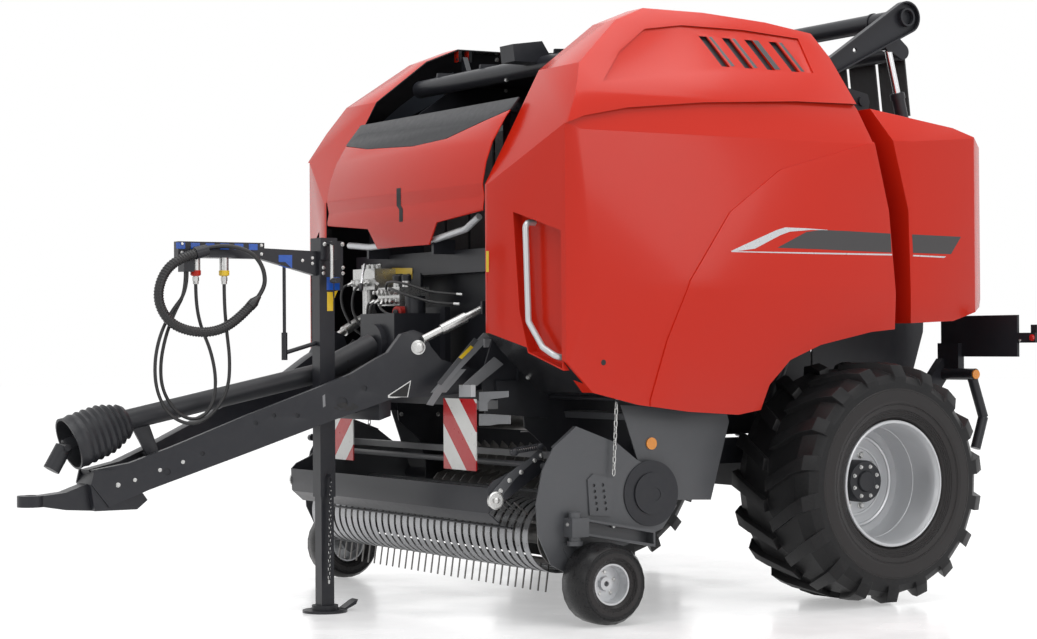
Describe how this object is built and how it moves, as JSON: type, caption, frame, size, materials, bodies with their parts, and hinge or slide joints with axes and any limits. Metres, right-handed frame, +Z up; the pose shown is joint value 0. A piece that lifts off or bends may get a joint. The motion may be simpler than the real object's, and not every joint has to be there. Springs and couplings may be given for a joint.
{
  "type": "round baler",
  "caption": "Trailed round baler with a belt chamber, tined pickup, two road wheels, V drawbar with a ring eye, parking jack, opening tailgate and side covers.",
  "frame": {"origin": "on the floor under the middle of the whole machine's box", "axes": "+X towards the tractor, +Y to the machine's left, +Z up"},
  "size_m": [4.8146, 2.914, 2.985],
  "materials": {
    "red_panel": "gloss red panel, dusty",
    "dark_paint": "satin dark grey paint",
    "grey_paint": "satin grey paint",
    "silver_paint": "silver paint",
    "zinc_steel": "zinc-plated steel",
    "bare_steel": "worn bare steel",
    "chrome": "chromed rod",
    "tyre": "black tyre rubber, dusty",
    "belt_rubber": "black belt rubber",
    "black_plastic": "matt black plastic",
    "black_rubber": "black hose rubber",
    "amber_plastic": "amber reflector",
    "white_paint": "white board with red stripes"
  },
  "bodies": {
    "frame": {"chassis": "dark_paint", "side_wall_left": "dark_paint", "side_wall_right": "dark_paint", "front_frame": "dark_paint", "chamber_rollers": "bare_steel", "front_belts": "belt_rubber", "roof_frame": "dark_paint", "gearbox": "dark_paint", "drawbar": "dark_paint", "hitch_eye": "dark_paint", "drawbar_links": "chrome", "drive_shaft": "black_plastic", "jack_sleeve": "dark_paint", "hose_holder": "dark_paint", "front_rail": "zinc_steel", "lower_shields": "grey_paint", "lamp_boards": "dark_paint", "side_reflectors": "amber_plastic", "warning_boards": "white_paint", "hydraulic_valves": "zinc_steel", "drive_guards": "dark_paint", "pickup_chains": "zinc_steel", "couplings": "zinc_steel", "hose_sleeve": "black_rubber", "hose_a": "black_rubber", "hose_b": "black_rubber", "hose_pipe": "black_rubber"},
    "wheel_left": {"rim_left": "silver_paint", "tyre_left": "tyre"},
    "wheel_right": {"rim_right": "silver_paint", "tyre_right": "tyre"},
    "tailgate": {"tailgate_frame": "dark_paint", "tail_panels": "red_panel", "rear_belts": "belt_rubber"},
    "tension_arm": {"tension_arm": "dark_paint", "arm_belts": "belt_rubber"},
    "tension_barrels": {"tension_barrels": "dark_paint"},
    "tension_rods": {"tension_rods": "chrome"},
    "lift_barrels": {"lift_barrels": "dark_paint"},
    "lift_rods": {"lift_rods": "chrome"},
    "cover_left": {"side_cover_left": "red_panel", "vent_panel_left": "black_plastic", "cover_handle_left": "zinc_steel"},
    "cover_right": {"side_cover_right": "red_panel", "vent_panel_right": "black_plastic", "cover_handle_right": "zinc_steel"},
    "hood": {"front_hood": "red_panel", "hood_band": "black_plastic"},
    "pickup": {"pickup_frame": "dark_paint", "stripper_bands": "grey_paint", "pivot_discs": "zinc_steel"},
    "reel": {"pickup_reel": "bare_steel"},
    "guard": {"wind_guard": "dark_paint", "guard_roller": "zinc_steel"},
    "gauge_wheel_left": {"gauge_rim_left": "silver_paint", "gauge_tyre_left": "tyre"},
    "gauge_wheel_right": {"gauge_rim_right": "silver_paint", "gauge_tyre_right": "tyre"},
    "jack_leg": {"jack_leg": "dark_paint"},
    "feed_rotor": {"feed_rotor": "bare_steel"}
  },
  "joints": [
    {"name": "wheel_left_spin", "type": "hinge", "parent": "frame", "child": "wheel_left", "pos_m": [-1.398, 1.157, 0.577], "axis": [0, 1, 0], "continuous": true},
    {"name": "wheel_right_spin", "type": "hinge", "parent": "frame", "child": "wheel_right", "pos_m": [-1.398, -1.157, 0.577], "axis": [0, 1, 0], "continuous": true},
    {"name": "tailgate_lift", "type": "hinge", "parent": "frame", "child": "tailgate", "pos_m": [-1.888, 0, 2.49], "axis": [0, 1, 0], "range_deg": [0, 70]},
    {"name": "tension_arm_swing", "type": "hinge", "parent": "frame", "child": "tension_arm", "pos_m": [-1.494, 0, 2.622], "axis": [0, 1, 0], "range_deg": [0, 15]},
    {"name": "tension_barrels_swing", "type": "hinge", "parent": "tailgate", "child": "tension_barrels", "pos_m": [-2.088, 0, 2.05], "axis": [0, 1, 0], "range_deg": [-28, 0]},
    {"name": "tension_rods_slide", "type": "slide", "parent": "tension_barrels", "child": "tension_rods", "axis": [0.2578, 0, 0.9662], "range_m": [-0.12, 0]},
    {"name": "lift_barrels_swing", "type": "hinge", "parent": "frame", "child": "lift_barrels", "pos_m": [-1.198, 0, 0.86], "axis": [0, 1, 0], "range_deg": [-13.5, 0]},
    {"name": "lift_rods_slide", "type": "slide", "parent": "lift_barrels", "child": "lift_rods", "axis": [-0.3877, 0, 0.9218], "range_m": [0, 0.31]},
    {"name": "cover_left_lift", "type": "hinge", "parent": "frame", "child": "cover_left", "pos_m": [-0.948, 0.805, 2.77], "axis": [1, 0, 0], "range_deg": [0, 60]},
    {"name": "cover_right_lift", "type": "hinge", "parent": "frame", "child": "cover_right", "pos_m": [-0.948, -0.805, 2.77], "axis": [-1, 0, 0], "range_deg": [0, 60]},
    {"name": "hood_lift", "type": "hinge", "parent": "frame", "child": "hood", "pos_m": [0.248, 0, 2.345], "axis": [0, -1, 0], "range_deg": [0, 50]},
    {"name": "pickup_lift", "type": "hinge", "parent": "frame", "child": "pickup", "pos_m": [-0.198, 0, 0.56], "axis": [0, -1, 0], "range_deg": [0, 12]},
    {"name": "reel_spin", "type": "hinge", "parent": "pickup", "child": "reel", "pos_m": [0.267, 0, 0.385], "axis": [0, 1, 0], "continuous": true},
    {"name": "wind_guard_swing", "type": "hinge", "parent": "pickup", "child": "guard", "pos_m": [0.302, 0, 0.7], "axis": [0, -1, 0], "range_deg": [0, 15]},
    {"name": "gauge_wheel_left_spin", "type": "hinge", "parent": "pickup", "child": "gauge_wheel_left", "pos_m": [0.155, 1.252, 0.184], "axis": [0, 1, 0], "continuous": true},
    {"name": "gauge_wheel_right_spin", "type": "hinge", "parent": "pickup", "child": "gauge_wheel_right", "pos_m": [0.155, -1.252, 0.184], "axis": [0, 1, 0], "continuous": true},
    {"name": "jack_leg_slide", "type": "slide", "parent": "frame", "child": "jack_leg", "axis": [0, 0, 1], "range_m": [-0.15, 0]},
    {"name": "feed_rotor_spin", "type": "hinge", "parent": "frame", "child": "feed_rotor", "pos_m": [-0.198, 0, 0.56], "axis": [0, 1, 0], "continuous": true}
  ],
  "couplings": [
    {"joint": "tension_arm_swing", "follows": "tailgate_lift", "ratio": 0.21429},
    {"joint": "tension_barrels_swing", "follows": "tailgate_lift", "ratio": -0.39429},
    {"joint": "tension_rods_slide", "follows": "tailgate_lift", "m_per_rad": -0.09577},
    {"joint": "lift_barrels_swing", "follows": "tailgate_lift", "ratio": -0.18829},
    {"joint": "lift_rods_slide", "follows": "tailgate_lift", "m_per_rad": 0.25006}
  ]
}
